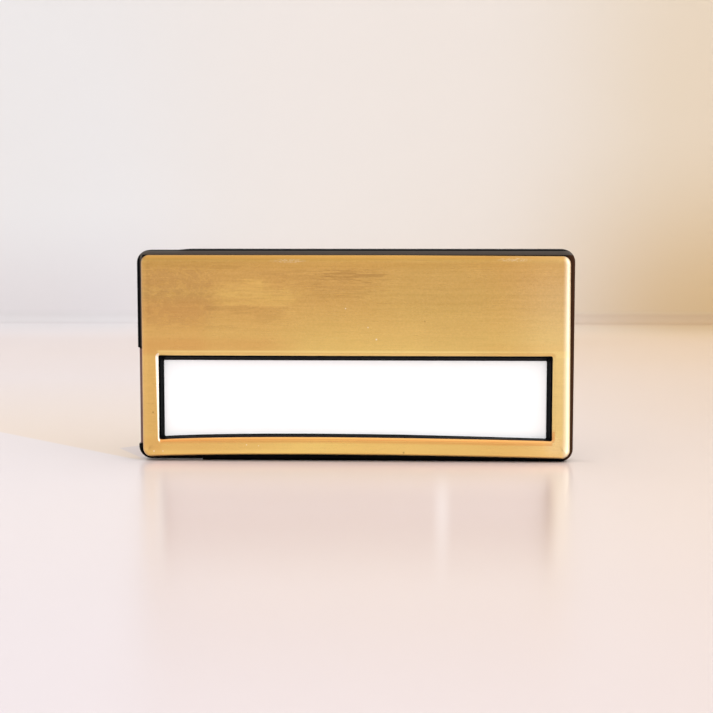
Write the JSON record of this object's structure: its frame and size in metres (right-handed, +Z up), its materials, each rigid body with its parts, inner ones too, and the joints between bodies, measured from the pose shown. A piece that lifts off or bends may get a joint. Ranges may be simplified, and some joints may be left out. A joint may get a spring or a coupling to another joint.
{
  "type": "name badge",
  "caption": "Flat oblong name badge: a rolled gold metal cover with a long window over a blank white card, on a black moulded backing with a bar pin behind.",
  "frame": {"origin": "on the badge's lower long edge, in the middle of its length and of its whole depth with the pin", "axes": "+X along the badge to the viewer's right, -Y out of the gold front, +Z up"},
  "size_m": [0.076, 0.0084, 0.037],
  "materials": {
    "black_plastic": "glossy moulded black plastic",
    "gold_metal": "gold anodised, finely brushed along the length, with polished rolled edges",
    "white_card": "smooth matte white card",
    "nickelled_steel": "bright nickel plating"
  },
  "bodies": {
    "root": {"backing": "black_plastic", "cover": "gold_metal", "name_card": "white_card", "pin_bar": "nickelled_steel"}
  },
  "joints": []
}
